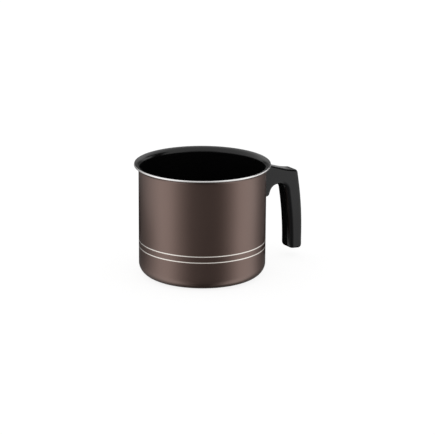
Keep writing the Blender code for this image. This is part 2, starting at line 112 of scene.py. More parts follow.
WALL_END_WIDTH_SHARE = 0.86
SEAT_RADIUS = 0.0718          # the handle's seat, just clear of the wall
SEAT_BLEND = 0.0040           # how far out the seat's curve fades
OUTER_FACE = FINGER_GAP + GRIP_DEPTH
ARCH_OUTER = FINGER_GAP - (INNER_BEND - ARCH_DEPTH) * GRIP_SLOPE
ARCH_CROWN = (PAD_THICKNESS + PAD_FLARE + ARCH_OUTER) / 2

# The handle's ribs
ARC_ROOM = 0.98               # the share of a side that the arcs at its two ends may take together
ARC_STEPS = 24
DIRECTION_REACH = 0.0004
SEARCH_COUNT = 4000
RIB_COUNT = 300
STRIP_STEPS = 10
ROUND_POINTS = 9
FACE_SHARES = np.concatenate([[0, 0.02], np.linspace(0.1, 0.9, 9), [0.98, 1]])
FACING_PLACES = (             # places that face each other on the handle's outer and inner side
    ((PAD_THICKNESS * 0.7, -0.0030), (PAD_THICKNESS * 0.7, -PAD_HEIGHT)),
    ((PAD_THICKNESS + 0.0010, -0.0040), (PAD_THICKNESS + 0.0005, -PAD_HEIGHT + 0.0050)),
    ((PAD_THICKNESS + PAD_FLARE, -0.0055), (PAD_THICKNESS + PAD_FLARE, -ARCH_DEPTH - 0.0030)),
    ((ARCH_CROWN, -0.0090), (ARCH_CROWN, -ARCH_DEPTH)),
    ((OUTER_FACE - 0.0100, -ARM_FALL - 0.0010), (ARCH_OUTER - 0.0025, -ARCH_DEPTH - 0.0025)),
    ((OUTER_FACE - 0.0050, -ARCH_DEPTH - 0.0080), (ARCH_OUTER + 0.0010, -ARCH_DEPTH - 0.0100)),
    ((OUTER_FACE, -HANDLE_LENGTH + 0.0100), (FINGER_GAP, -HANDLE_LENGTH + 0.0100)),
    ((OUTER_FACE - 0.0012, -HANDLE_LENGTH + 0.0012), (FINGER_GAP + 0.0018, -HANDLE_LENGTH + 0.0034)),
)

# Fixings
RIVETS = ("rivet_lower", "rivet_upper")
RIVET_HEAD = (0.0038, 0.0015)
RIVET_SHANK = 0.0020
RIVET_TAIL = (0.0030, 0.0012)
RIVET_TAIL_SEAT = 0.0736
RIVET_HOLE = 0.0023
RIVET_HOLE_SPAN = (0.0690, 0.0722)
SCREW_BORE = (0.0039, 0.0882, 0.0935)     # radius and the heights it spans
SCREW_CLEARANCE = (0.0023, 0.0882, 0.1053)
BRACKET_POCKETS = (           # lowest and highest corners of the hollows in the handle's seat
    ((0.0695, -0.0068, 0.0802), (0.0736, 0.0068, 0.1035)),
    ((0.0695, -0.0033, 0.0820), (0.0751, 0.0033, 0.0991)),
    ((0.0695, -0.0058, 0.1014), (0.10392, 0.0058, 0.1035)),
)

HEAD_STEPS = 14
TAIL_STEPS = 10
ROUND_STEPS = 64

# Meshes: how close two points are one, and the edges that stay sharp
MERGE = 1e-6
SHARP_ANGLE = math.radians(35)

# Grain of the coats
NOISE_SPAN = (0.3, 0.7)       # where nearly all of a noise lies
CLOUD_SCALE = 28.0
BROAD_LINE_SCALE = 420.0
LINE_TONE_SHARE = 0.95
LINE_ROUGHNESS_SPREAD = (-0.04, 0.06)

# Camera
CAMERA_LEVEL_DISTANCE = 2.13335
CAMERA_HEIGHT = 0.70183
CAMERA_OFFSET = 0.0171
CAMERA_TURN = math.radians(-33)
CAMERA_TILT = math.radians(16.65)
CAMERA_ROLL = math.radians(0.39)
CAMERA_LENS = 163.82
SENSOR = 36.0
CAMERA_CLIP = (0.05, 50)

# Stage pieces, counted across and away from the camera, and up. The flat ones lie just under the base.
FLOOR_REACH = 6.0             # from the middle to each side
FLOOR_LEVEL = -0.0002
FLOOR_TONE = 0.80
FLOOR_GLOW = 1.22
FLOOR_GLOW_SHARE = 0.70
SHADE_LEVEL = -0.0001
SHADE_CORNERS = ((-0.45, -0.2), (0.45, -0.2), (0.45, 0.4), (-0.45, 0.4))
SHADE_NEAR = (0.05, 0.12)
SHADE_FAR = (0.38, 0.22)
SHADE_BACK = (-0.12, 0.03)
SHADE_SHARES = (0.50, 0.14)   # on the left and on the right
CARD_TONE = 0.005
CARD_LEVEL = -0.00005
# Painted shadow: a dark card on the table behind the pan stands in for the table's shade there, and only
# reflections show it
PAINTED_SHADOW_BEHIND = (               # across and away
    (-0.165, 0.135), (-0.05, 0.078), (0.04, 0.066), (0.15, 0.055), (0.15, 0.30), (-0.21, 0.30))
CARD_SIDE = 0.32
CARD_BESIDE = (               # away and up
    (-0.025, 0.128), (0.16, 0.128), (0.16, 0.30), (0.40, 0.30), (0.40, 0.44), (-0.025, 0.44))

# The studio that reflections see. A ray's way is told by its azimuth in degrees, which is 0 towards the
# camera and grows to its right, and by how far it goes behind and up. Each edge or rise is a span over
# which a share grows from none to all. Levels count plain white as 1.
TABLE_LEVELS = (              # azimuth and level
    (-180, 0.10), (-145, 0.17), (-125, 0.36), (-105, 0.70), (-82, 1.05), (-60, 0.98), (-40, 0.45),
    (-20, 0.165), (10, 0.11), (34, 0.12), (52, 0.42), (72, 1.00), (100, 0.98), (118, 0.41), (132, 0.17),
    (150, 0.11), (180, 0.10))
TABLE_SCALE = 1.25            # the brightest that the table's ramp can hold
UNDER_RISE = (-1.0, -0.80)
UNDER_SHARE = 0.20
FAR_EDGE = (0.80, 0.97)
FAR_RISE = (-0.20, -0.08)
FAR_LEVEL = 0.60
FRONT_GAP_EDGE = (0.75, 0.97)
FRONT_GAP_RISE = (0.50, 0.34)
FRONT_GAP_LEVEL = 0.50
BACK_GAP_EDGE = (0.55, 0.90)
BACK_GAP_RISE = (0.45, 0.15)
BACK_GAP_LEVEL = 0.03
SKY_LEVEL = 0.75
HORIZON = (-0.03, 0.15)
HORIZON_TILT = 0.10
BACK_LIFT = 0.12
RIGHT_START = (92, 112)
RIGHT_END = (168, 150)
RIGHT_LIFT = 0.25


# Meshes
def grid_faces(rows, columns, wrap):
    """Corner numbers of the quads of a grid whose points are numbered row by row."""
    across = np.arange(columns if wrap else columns - 1)
    down = np.arange(rows - 1)[:, None] * columns
    after = (across + 1) % columns
    below = down + columns
    return np.stack([down + across, down + after, below + after, below + across], -1).reshape(-1, 4)


def mesh_piece(name, points, faces, materials, zones=None):
    """A piece from points and quads, its doubles merged, its poles closed and its faces pointing out."""
    mesh = bpy.data.meshes.new(name)
    mesh.from_pydata(points.reshape(-1, 3).tolist(), [], faces.tolist())
    for material in materials:
        mesh.materials.append(material)
    if zones is not None:
        mesh.polygons.foreach_set("material_index", zones.astype(np.int32))
    work = bmesh.new()
    work.from_mesh(mesh)
    bmesh.ops.remove_doubles(work, verts=work.verts, dist=MERGE)
    bmesh.ops.dissolve_degenerate(work, edges=work.edges, dist=MERGE)
    bmesh.ops.recalc_face_normals(work, faces=work.faces)
    work.to_mesh(mesh)
    work.free()
    mesh.shade_smooth()
    mesh.set_sharp_from_angle(angle=SHARP_ANGLE)
    piece = bpy.data.objects.new(name, mesh)
    bpy.context.scene.collection.objects.link(piece)
    return piece


def finish_piece(piece, slot, *nodes):
    """Puts a piece on the part's one body, in place of the nodes that it stands for. Its slot is not used."""
    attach(piece, "root")
    if nodes:
        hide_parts(*nodes)


def arc_points(centre, radius, start, end, steps):
    """Points of an arc: the centre plus the radius times the cosine and sine of evenly spaced angles."""
    angle = np.linspace(start, end, steps + 1)
    return np.stack([centre[0] + radius * np.cos(angle), centre[1] + radius * np.sin(angle)], 1)


def line_points(start, end, steps):
    """Evenly spaced points from one place to another."""
    share = np.linspace(0, 1, steps + 1)[:, None]
    return np.asarray(start) * (1 - share) + np.asarray(end) * share


def turned_surface(profile, steps):
    """Each profile point, given as radius and height, carried round the Z axis: x and y are the radius
    times the cosine and sine of the turn, and z is the height."""
    turn = np.arange(steps) * (2 * math.pi / steps)
    radius, height = profile[:, :1], profile[:, 1:]
    return np.stack([radius * np.cos(turn), radius * np.sin(turn), height + 0 * turn], -1)


# Pan
INSIDE_COAT, OUTSIDE_COAT, BARE_EDGE, SCRIBED_LINE, TURNED_BASE = range(5)


def groove_points(height):
    """One scribed line in the wall, from its top down: the radius dips to the line's depth over a short
    upper flank, stays there, and comes back over a longer lower flank. Both flanks are the curve 3 s
    squared less 2 s cubed."""
    down = np.linspace(0, 1, LINE_STEPS + 1)
    share = np.interp(down, LINE_SECTION, (0, 1, 1, 0))
    dip = LINE_DEPTH * share * share * (3 - 2 * share)
    return np.stack([WALL_RADIUS - dip, height + LINE_WIDTH * (0.5 - down)], 1)


def ring_points(radius):
    """One ring turned into the base: the height rises by the ring's depth times half of one plus the cosine
    of a whole turn across its width."""
    across = np.linspace(0.5, -0.5, RING_STEPS + 1)
    rise = RING_DEPTH * 0.5 * (1 + np.cos(2 * math.pi * across))
    return np.stack([radius + RING_WIDTH * across, rise], 1)


def pan_profile():
    """Section of the pan from the middle of its floor, up the inner wall, over the lip, down the outer wall
    and in to the middle of the base, with the zone of each stretch."""
    half = SHEET_THICKNESS / 2
    middle = WALL_RADIUS - half
    bend_out = LIP_BEND * (1 - math.cos(LIP_SWEEP))
    tail = (WALL_RADIUS + LIP_REACH - middle - bend_out - half * math.cos(LIP_SWEEP)) / math.sin(LIP_SWEEP)
    rise = LIP_BEND * math.sin(LIP_SWEEP) + tail * math.cos(LIP_SWEEP) + half * math.sin(LIP_SWEEP)
    bend = (middle + LIP_BEND, RIM_HEIGHT - rise)
    along = np.array([math.sin(LIP_SWEEP), math.cos(LIP_SWEEP)])
    across = np.array([along[1], -along[0]])
    inner_corner = BASE_CORNER - SHEET_THICKNESS
    corner_middle = WALL_RADIUS - BASE_CORNER

    floor = line_points((0, FLOOR_THICKNESS), (corner_middle, FLOOR_THICKNESS), FLOOR_STEPS)
    inner = arc_points((corner_middle, FLOOR_THICKNESS + inner_corner), inner_corner, -math.pi / 2, 0,
                       INNER_CORNER_STEPS)
    wall_in = line_points(inner[-1], (WALL_RADIUS - SHEET_THICKNESS, bend[1]), INNER_WALL_STEPS)
    flare_in = arc_points(bend, LIP_BEND + half, math.pi, math.pi - LIP_SWEEP, INNER_LIP_STEPS)
    flare_out = arc_points(bend, LIP_BEND - half, math.pi - LIP_SWEEP, math.pi, OUTER_LIP_STEPS)
    upper, lower = flare_in[-1] + along * tail, flare_out[0] + along * tail
    top = line_points(flare_in[-1], upper - along * EDGE_BREAK, FLANGE_STEPS)
    edge = arc_points((0, 0), 1, math.pi / 2, 0, EDGE_STEPS)
    brow = upper - along * EDGE_BREAK + across * EDGE_BREAK
    upper_break = brow + EDGE_BREAK * (edge[:, :1] * along - edge[:, 1:] * across)
    heel = lower - along * EDGE_BREAK - across * EDGE_BREAK
    lower_break = heel + EDGE_BREAK * (edge[::-1][:, :1] * along + edge[::-1][:, 1:] * across)
    under = line_points(lower - along * EDGE_BREAK, flare_out[0], FLANGE_STEPS)
    upper_line, lower_line = (groove_points(height) for height in LINE_HEIGHTS)
    wall_top = line_points((WALL_RADIUS, bend[1]), upper_line[0], OUTER_WALL_STEPS)
    between = line_points(upper_line[-1], lower_line[0], BETWEEN_STEPS)
    wall_low = line_points(lower_line[-1], (WALL_RADIUS, BASE_CORNER), LOW_WALL_STEPS)
    outer = arc_points((corner_middle, BASE_CORNER), BASE_CORNER, 0, -math.pi / 2, OUTER_CORNER_STEPS)
    base_middle = line_points((RING_RADII[-1] - RING_WIDTH / 2, 0), (0, 0), BASE_MIDDLE_STEPS)
    stretches = [
        (floor, INSIDE_COAT), (inner, INSIDE_COAT), (wall_in, INSIDE_COAT), (flare_in, INSIDE_COAT),
        (top, INSIDE_COAT), (upper_break[:COATED_EDGE_POINTS], INSIDE_COAT),
        (upper_break[COATED_EDGE_POINTS:], BARE_EDGE), (lower_break, BARE_EDGE), (under, OUTSIDE_COAT),
        (flare_out, OUTSIDE_COAT), (wall_top, OUTSIDE_COAT), (upper_line, SCRIBED_LINE),
        (between, OUTSIDE_COAT), (lower_line, SCRIBED_LINE), (wall_low, OUTSIDE_COAT),
        (outer, OUTSIDE_COAT),
    ]
    stretches += [(ring_points(radius), TURNED_BASE) for radius in RING_RADII]
    stretches.append((base_middle, TURNED_BASE))
    profile = np.concatenate([points for points, zone in stretches])
    zones = np.concatenate([np.full(len(points), zone) for points, zone in stretches])
    step = np.linalg.norm(np.diff(profile, axis=0), axis=1)
    keep = np.concatenate([[True], step > MERGE])
    return profile[keep], zones[keep]


def make_pan(materials):
    """The pan's section carried round its axis, with the holes for the rivets cut through the wall."""
    profile, zones = pan_profile()
    points = turned_surface(profile, PAN_STEPS)
    faces = grid_faces(len(profile), PAN_STEPS, wrap=True)
    pan = mesh_piece("pan_shell", points, faces, materials, np.repeat(zones[1:], PAN_STEPS))
    cutters = []
    for node in RIVETS:
        low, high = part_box(node)
        bored, faces = bore_points(RIVET_HOLE, *RIVET_HOLE_SPAN)
        laid_down = bored[..., ::-1] * np.array([1, 1, -1])
        cutters.append((laid_down + np.array([0, 0, (low.z + high.z) / 2]), faces))
    cut_away(pan, cutters)
    finish_piece(pan, "coated_aluminium", "pan_body")


# Handle
def rounded_path(corners, steps):
    """A path through corners given as x, y and radius. Each corner becomes the arc that touches both of its
    sides at the radius over the tangent of half its angle, cut back where two arcs would meet."""
    places = [np.array(corner[:2]) for corner in corners]
    inside = range(1, len(corners) - 1)
    sides = [np.linalg.norm(after - before) for before, after in zip(places, places[1:])]
    towards = [(after - before) / side for before, after, side in zip(places, places[1:], sides)]
    half = {i: math.acos(np.clip(-towards[i - 1] @ towards[i], -1, 1)) / 2 for i in inside}
    wanted = [corners[i][2] / math.tan(half[i]) if i in half else 0 for i in range(len(corners))]
    path = [places[0][None]]
    for i in inside:
        reach = wanted[i]
        for side, other in ((sides[i - 1], wanted[i - 1]), (sides[i], wanted[i + 1])):
            room = ARC_ROOM * side
            if wanted[i] + other > room:
                reach = min(reach, room * wanted[i] / (wanted[i] + other))
        bisector = towards[i] - towards[i - 1]
        centre = places[i] + bisector / np.linalg.norm(bisector) * (reach / math.cos(half[i]))
        first = places[i] - towards[i - 1] * reach - centre
        last = places[i] + towards[i] * reach - centre
        turn = math.atan2(first[0] * last[1] - first[1] * last[0], first @ last)
        angle = np.linspace(0, turn, steps + 1)[:, None]
        path.append(centre + first * np.cos(angle) + np.array([-first[1], first[0]]) * np.sin(angle))
    path.append(places[-1][None])
    return np.concatenate(path)


def lengths_along(path):
    """Distance along a path at each of its points."""
    return np.concatenate([[0], np.cumsum(np.linalg.norm(np.diff(path, axis=0), axis=1))])


def points_along(path, distance):
    """Places on a path at given distances along it."""
    lengths = lengths_along(path)
    return np.stack([np.interp(distance, lengths, path[:, axis]) for axis in (0, 1)], 1)


def sideways(path, distance, side):
    """Unit vectors square to a path: its direction, taken over a short stretch, turned a quarter."""
    total = lengths_along(path)[-1]
    before = points_along(path, np.clip(distance - DIRECTION_REACH, 0, total))
    after = points_along(path, np.clip(distance + DIRECTION_REACH, 0, total))
    ahead = after - before
    ahead /= np.linalg.norm(ahead, axis=1)[:, None]
    return side * np.stack([-ahead[:, 1], ahead[:, 0]], 1)


def handle_paths():
    """The handle's upper and outer side, and its under and inner side, both from the wall to the tip's
    middle."""
    corner = OUTER_FACE - (OUTER_BEND - ARM_FALL) * GRIP_SLOPE
    knee = corner * KNEE_SHARE
    tip = ((FINGER_GAP + OUTER_FACE) / 2, -HANDLE_LENGTH + TIP_SLANT / 2)
    outer = [
        (0, 0, 0),
        (knee, -ARM_FALL * KNEE_FALL_SHARE, KNEE_RADIUS),
        (corner, -ARM_FALL, OUTER_CORNER),
        (OUTER_FACE, -OUTER_BEND, GRIP_SWEEP),
        (OUTER_FACE, -HANDLE_LENGTH, TIP_OUTER),
        (*tip, 0),
    ]
    inner = [
        (0, -PAD_HEIGHT, 0),
        (PAD_THICKNESS, -PAD_HEIGHT, PAD_FOOT),
        (PAD_THICKNESS + PAD_FLARE, -ARCH_DEPTH, ARCH_RADIUS),
        (ARCH_OUTER, -ARCH_DEPTH, ARCH_RADIUS),
        (FINGER_GAP, -INNER_BEND, GRIP_SWEEP),
        (FINGER_GAP, -HANDLE_LENGTH + TIP_SLANT, TIP_INNER),
        (*tip, 0),
    ]
    return rounded_path(outer, ARC_STEPS), rounded_path(inner, ARC_STEPS)


def nearest_length(path, place):
    """Distance along a path to its point nearest to a place."""
    total = lengths_along(path)[-1]
    tries = np.linspace(0, total, SEARCH_COUNT)
    gaps = np.linalg.norm(points_along(path, tries) - np.asarray(place), axis=1)
    return tries[np.argmin(gaps)]


def matched_lengths(outer, inner):
    """Distances along both paths for the same ribs of the handle, through places that face each other."""
    marks = [(0, 0)]
    for above, below in FACING_PLACES:
        marks.append((nearest_length(outer, above), nearest_length(inner, below)))
    marks.append((lengths_along(outer)[-1], lengths_along(inner)[-1]))
    marks = np.array(marks)
    station = np.concatenate([[0], np.cumsum(np.max(np.diff(marks, axis=0), axis=1))])
    along = np.linspace(0, station[-1], RIB_COUNT)
    return np.interp(along, station, marks[:, 0]), np.interp(along, station, marks[:, 1])


def width_share(reach):
    """How wide the handle is, as a share of the grip's width: it grows evenly away from the wall."""
    return WALL_END_WIDTH_SHARE + (1 - WALL_END_WIDTH_SHARE) * reach / OUTER_FACE


def corner_column(path_points, normals, rounding, angle):
    """Points of a quarter-round edge: the path moved in by the rounding times one less the sine of the
    angle."""
    return path_points[:, None] - normals[:, None] * (rounding[:, None] * (1 - np.sin(angle)))[..., None]


def handle_ribs():
    """Every rib is a rounded rectangle between the two sides of the handle: a strip on the outer side, a
    quarter round, the flat side face, a quarter round and a strip on the inner side, and the same again on
    the far side. It gives the places in the handle's own plane, and how far each lies sideways."""
    outer_path, inner_path = handle_paths()
    outer_at, inner_at = matched_lengths(outer_path, inner_path)
    outer, inner = points_along(outer_path, outer_at), points_along(inner_path, inner_at)
    outer_out, inner_out = sideways(outer_path, outer_at, 1), sideways(inner_path, inner_at, -1)
    reach = outer[:, 0] / OUTER_FACE
    outer_round = SIDE_ROUNDING * (WALL_END_ROUNDING_SHARE + (1 - WALL_END_ROUNDING_SHARE) * reach)
    facing = np.clip(-inner_out[:, 0], 0, 1)
    inner_round = SIDE_ROUNDING + (INNER_ROUNDING - SIDE_ROUNDING) * facing
    fade = np.clip((inner_at[-1] - inner_at) / TIP_INNER, 0, 1)
    inner_round = outer_round + (inner_round - outer_round) * fade

    half = GRIP_WIDTH / 2
    strip = np.linspace(-1, 1, STRIP_STEPS + 1)
    turn = np.linspace(math.pi / 2, 0, ROUND_POINTS)
    outer_edge = corner_column(outer, outer_out, outer_round, turn)
    inner_edge = corner_column(inner, inner_out, inner_round, turn[::-1])
    outer_wide = half - outer_round[:, None] * (1 - np.cos(turn))
    inner_wide = half - inner_round[:, None] * (1 - np.cos(turn[::-1]))
    face = outer_edge[:, -1:] * (1 - FACE_SHARES[:, None]) + inner_edge[:, :1] * FACE_SHARES[:, None]
    face_wide = np.full((RIB_COUNT, len(FACE_SHARES) - 1), half)

    stretches = [
        (np.repeat(outer[:, None], STRIP_STEPS + 1, 1), strip * (half - outer_round[:, None])),
        (outer_edge[:, 1:], outer_wide[:, 1:]),
        (face[:, 1:], face_wide),
        (inner_edge[:, 1:], inner_wide[:, 1:]),
        (np.repeat(inner[:, None], STRIP_STEPS, 1), -strip[1:] * (half - inner_round[:, None])),
        (inner_edge[:, ::-1][:, 1:], -inner_wide[:, ::-1][:, 1:]),
        (face[:, ::-1][:, 1:], -face_wide),
        (outer_edge[:, ::-1][:, 1:-1], -outer_wide[:, ::-1][:, 1:-1]),
    ]
    flat = np.concatenate([places for places, wide in stretches], 1)
    sides = np.concatenate([wide for places, wide in stretches], 1)
    return flat, sides


def on_pan(flat, sides):
    """Places in the handle's own plane put into the part's frame: the width follows the reach, and close to
    the wall each point moves onto the seat, whose reach is the root of its radius squared less the side
    squared."""
    reach, height = flat[..., 0], flat[..., 1]
    side = sides * width_share(reach)
    seat = np.sqrt(SEAT_RADIUS ** 2 - side ** 2) - WALL_RADIUS
    near = 1 - np.clip(reach / SEAT_BLEND, 0, 1)
    reach = reach + seat * near * near * (3 - 2 * near)
    return np.stack([WALL_RADIUS + reach, side, HANDLE_TOP + height], -1)


def seat_cap(flat, sides):
    """Closes the handle on its seat: level rows from one side of its first rib to the other, one at each
    point of its near side, from the end of the outer strip to the start of the inner one."""
    near_side = slice(STRIP_STEPS, STRIP_STEPS + 2 * ROUND_POINTS + len(FACE_SHARES) - 2)
    heights, halves = flat[0, near_side, 1], sides[0, near_side]
    side = halves[:, None] * np.linspace(-1, 1, STRIP_STEPS + 1)
    place = np.stack([np.zeros_like(side), heights[:, None] + 0 * side], -1)
    return place, side


def box_points(low, high):
    """The eight corners of a box and its six faces."""
    corners = np.array([[(low, high)[pick][axis] for axis, pick in enumerate(picks)]
                        for picks in np.ndindex(2, 2, 2)])
    faces = np.array([(0, 1, 3, 2), (4, 6, 7, 5), (0, 4, 5, 1), (2, 3, 7, 6), (0, 2, 6, 4), (1, 5, 7, 3)])
    return corners, faces


def bore_points(radius, low, high):
    """A round bore about Z, from one height to another, closed at both ends."""
    section = np.array([(0, high), (radius, high), (radius, low), (0, low)])
    return turned_surface(section, ROUND_STEPS), grid_faces(len(section), ROUND_STEPS, wrap=True)


def cut_away(piece, cutters):
    """Cuts hollows out of a piece and keeps the result as its mesh."""
    tools = []
    for points, faces in cutters:
        tool = mesh_piece("cutter", points, faces, [])
        cut = piece.modifiers.new("hollow", "BOOLEAN")
        cut.operation = "DIFFERENCE"
        cut.solver = "EXACT"
        cut.object = tool
        tools.append(tool)
    graph = bpy.context.evaluated_depsgraph_get()
    mesh = bpy.data.meshes.new_from_object(piece.evaluated_get(graph))
    piece.modifiers.clear()
    old = piece.data
    piece.data = mesh
    bpy.data.meshes.remove(old)
    mesh.name = piece.name
    for tool in tools:
        bpy.data.objects.remove(tool, do_unlink=True)
    mesh.shade_smooth()
    mesh.set_sharp_from_angle(angle=SHARP_ANGLE)


def make_handle(material):
    """The handle from its ribs and the cap on its seat, with the hollows for its fixings cut out."""
    flat, sides = handle_ribs()
    ribs = on_pan(flat, sides)
    cap = on_pan(*seat_cap(flat, sides))
    faces = grid_faces(ribs.shape[0], ribs.shape[1], wrap=True)
    cap_faces = grid_faces(cap.shape[0], cap.shape[1], wrap=False) + ribs.shape[0] * ribs.shape[1]
    points = np.concatenate([ribs.reshape(-1, 3), cap.reshape(-1, 3)])
    handle = mesh_piece("side_handle", points, np.concatenate([faces, cap_faces]), [material])
    cutters = [box_points(*pocket) for pocket in BRACKET_POCKETS]
    for bore in (SCREW_BORE, SCREW_CLEARANCE):
        bored, faces = bore_points(*bore)
        cutters.append((bored + np.array([WALL_RADIUS + ARCH_CROWN, 0, 0]), faces))
    cut_away(handle, cutters)
    finish_piece(handle, "handle_plastic", "handle")


# Rivets
def dome_points(radius, height, steps):
    """A low dome from its middle to its rim: a cap of the ball whose radius is half the sum of the rim's
    radius squared over the height and the height."""
    ball = (radius ** 2 / height + height) / 2
    return arc_points((0, height - ball), ball, math.pi / 2, math.pi / 2 - math.asin(radius / ball), steps)


def make_rivet(node, material):
    """Rivet turned about X: its head inside the pan, its shank through the wall and its formed tail
    outside."""
    low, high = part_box(node)
    height = (low.z + high.z) / 2
    seat = low.x + RIVET_HEAD[1]
    head = dome_points(*RIVET_HEAD, HEAD_STEPS)
    tail = dome_points(RIVET_TAIL[0], RIVET_TAIL[1] / 2, TAIL_STEPS)
    tail[:, 1] = RIVET_TAIL_SEAT + RIVET_TAIL[1] / 2 + tail[:, 1]
    head[:, 1] = seat - head[:, 1]
    middle = [(RIVET_TAIL[0], RIVET_TAIL_SEAT), (RIVET_SHANK, RIVET_TAIL_SEAT), (RIVET_SHANK, seat)]
    profile = np.concatenate([tail, middle, head[::-1]])
    turned = turned_surface(profile, ROUND_STEPS)
    points = np.stack([turned[..., 2], turned[..., 1], height - turned[..., 0]], -1)
    faces = grid_faces(len(profile), ROUND_STEPS, wrap=True)
    rivet = mesh_piece(node + "_turned", points, faces, [material])
    finish_piece(rivet, "rivet", node)


# Materials
def add_node(tree, kind, settings=None, values=None):
    """A node with its settings, and its inputs given as values or as the sockets that feed them."""
    node = tree.nodes.new(kind)
    for name, value in (settings or {}).items():
        setattr(node, name, value)
    for name, value in (values or {}).items():
        if isinstance(value, bpy.types.NodeSocket):
            tree.links.new(value, node.inputs[name])
        else:
            node.inputs[name].default_value = value
    return node


def new_group(name, inputs, outputs):
    """A shader node group with named inputs, given as name, kind and default, and named outputs."""
    tree = bpy.data.node_groups.new(name, "ShaderNodeTree")
    for label, kind, default in inputs:
        socket = tree.interface.new_socket(name=label, in_out="INPUT", socket_type=kind)
        if default is not None:
            socket.default_value = default
    for label, kind in outputs:
        tree.interface.new_socket(name=label, in_out="OUTPUT", socket_type=kind)
    return tree, tree.nodes.new("NodeGroupInput"), tree.nodes.new("NodeGroupOutput")


def sprayed_coat_group():
    """Fine pigment grain and the soft waviness of a sprayed and baked coat."""
    tree, given, out = new_group(
        "sprayed coat",
        [("Position", "NodeSocketVector", None), ("Grain Scale", "NodeSocketFloat", 2600.0),
         ("Waviness Scale", "NodeSocketFloat", 240.0), ("Grain Share", "NodeSocketFloat", 0.5)],
        [("Grain", "NodeSocketFloat"), ("Cloud", "NodeSocketFloat"), ("Height", "NodeSocketFloat")])
    grain = add_node(tree, "ShaderNodeTexNoise", values={
        "Vector": given.outputs["Position"], "Scale": given.outputs["Grain Scale"], "Detail": 2.0,
        "Roughness": 0.6})
    wave = add_node(tree, "ShaderNodeTexNoise", values={
        "Vector": given.outputs["Position"], "Scale": given.outputs["Waviness Scale"], "Detail": 1.0})
    cloud = add_node(tree, "ShaderNodeTexNoise", values={
        "Vector": given.outputs["Position"], "Scale": CLOUD_SCALE, "Detail": 3.0})
    height = add_node(tree, "ShaderNodeMix", values={
        0: given.outputs["Grain Share"], 2: wave.outputs["Fac"], 3: grain.outputs["Fac"]})
    tree.links.new(grain.outputs["Fac"], out.inputs["Grain"])
    tree.links.new(cloud.outputs["Fac"], out.inputs["Cloud"])
    tree.links.new(height.outputs[0], out.inputs["Height"])
    return tree


def turned_lines_group():
    """Fine tool lines that run round the pan's axis, read from the distance to that axis and the height."""
    tree, given, out = new_group(
        "turned lines",
        [("Position", "NodeSocketVector", None), ("Line Scale", "NodeSocketFloat", 2200.0)],
        [("Lines", "NodeSocketFloat"), ("Broad Lines", "NodeSocketFloat")])
    level = add_node(tree, "ShaderNodeVectorMath", {"operation": "MULTIPLY"}, {
        0: given.outputs["Position"], 1: (1.0, 1.0, 0.0)})
    away = add_node(tree, "ShaderNodeVectorMath", {"operation": "LENGTH"}, {0: level.outputs["Vector"]})
    parts = add_node(tree, "ShaderNodeSeparateXYZ", values={0: given.outputs["Position"]})
    place = add_node(tree, "ShaderNodeCombineXYZ", values={0: away.outputs["Value"], 2: parts.outputs["Z"]})
    fine = add_node(tree, "ShaderNodeTexNoise", values={
        "Vector": place.outputs[0], "Scale": given.outputs["Line Scale"], "Detail": 4.0, "Roughness": 0.7})
    broad = add_node(tree, "ShaderNodeTexNoise", values={
        "Vector": place.outputs[0], "Scale": BROAD_LINE_SCALE, "Detail": 2.0})
    tree.links.new(fine.outputs["Fac"], out.inputs["Lines"])
    tree.links.new(broad.outputs["Fac"], out.inputs["Broad Lines"])
    return tree


def grey(level):
    """A grey as a solid colour."""
    return (level, level, level, 1)


def new_material(name, settings):
    """A material whose shader takes its constant values on its own sockets."""
    material = bpy.data.materials.new(name)
    material.use_nodes = True
    shader = material.node_tree.nodes["Principled BSDF"]
    for label, value in settings.items():
        shader.inputs[label].default_value = value
    return material, material.node_tree, shader


def object_position(tree):
    """Places on the piece, in its own frame."""
    return tree.nodes.new("ShaderNodeTexCoord").outputs["Object"]


def mapped(tree, noise, low, high):
    """A noise brought to a span of its own."""
    node = add_node(tree, "ShaderNodeMapRange", values={
        "Value": noise, "From Min": NOISE_SPAN[0], "From Max": NOISE_SPAN[1],
        "To Min": low, "To Max": high})
    return node.outputs["Result"]


def blended(tree, share, first, second):
    """Two colours mixed by a share."""
    node = add_node(tree, "ShaderNodeMix", {"data_type": "RGBA"}, {0: share, 6: first, 7: second})
    return node.outputs[2]


def bumped(tree, shader, height, strength, distance):
    """Fine relief on a shader, from a height."""
    node = add_node(tree, "ShaderNodeBump", values={
        "Strength": strength, "Distance": distance, "Height": height})
    tree.links.new(node.outputs["Normal"], shader.inputs["Normal"])


def coat_parts(tree, group, **values):
    """What a group puts out at the places on the piece, with some of its named inputs set."""
    node = add_node(tree, "ShaderNodeGroup", {"node_tree": group}, {"Position": object_position(tree)})
    for label, value in values.items():
        node.inputs[label.replace("_", " ")].default_value = value
    return node.outputs


def pearl_coat(group):
    """Brown pearl coat under a clear one: metallic pigment whose tone and gloss vary a little from grain to
    grain."""
    material, tree, shader = new_material("brown pearl coat", {
        "Metallic": 0.95, "IOR": 1.5, "Coat Weight": 1.0, "Coat Roughness": 0.22, "Coat IOR": 1.5,
        "Specular Tint": (0.88, 0.70, 0.64, 1)})
    coat = coat_parts(tree, group)
    dark = blended(tree, coat["Cloud"], (0.158, 0.098, 0.079, 1), (0.170, 0.106, 0.086, 1))
    light = blended(tree, coat["Cloud"], (0.205, 0.132, 0.110, 1), (0.220, 0.142, 0.118, 1))
    colour = blended(tree, coat["Grain"], dark, light)
    tree.links.new(colour, shader.inputs["Base Color"])
    tree.links.new(mapped(tree, coat["Grain"], 0.30, 0.36), shader.inputs["Roughness"])
    bumped(tree, shader, coat["Height"], strength=0.06, distance=0.0002)
    return material


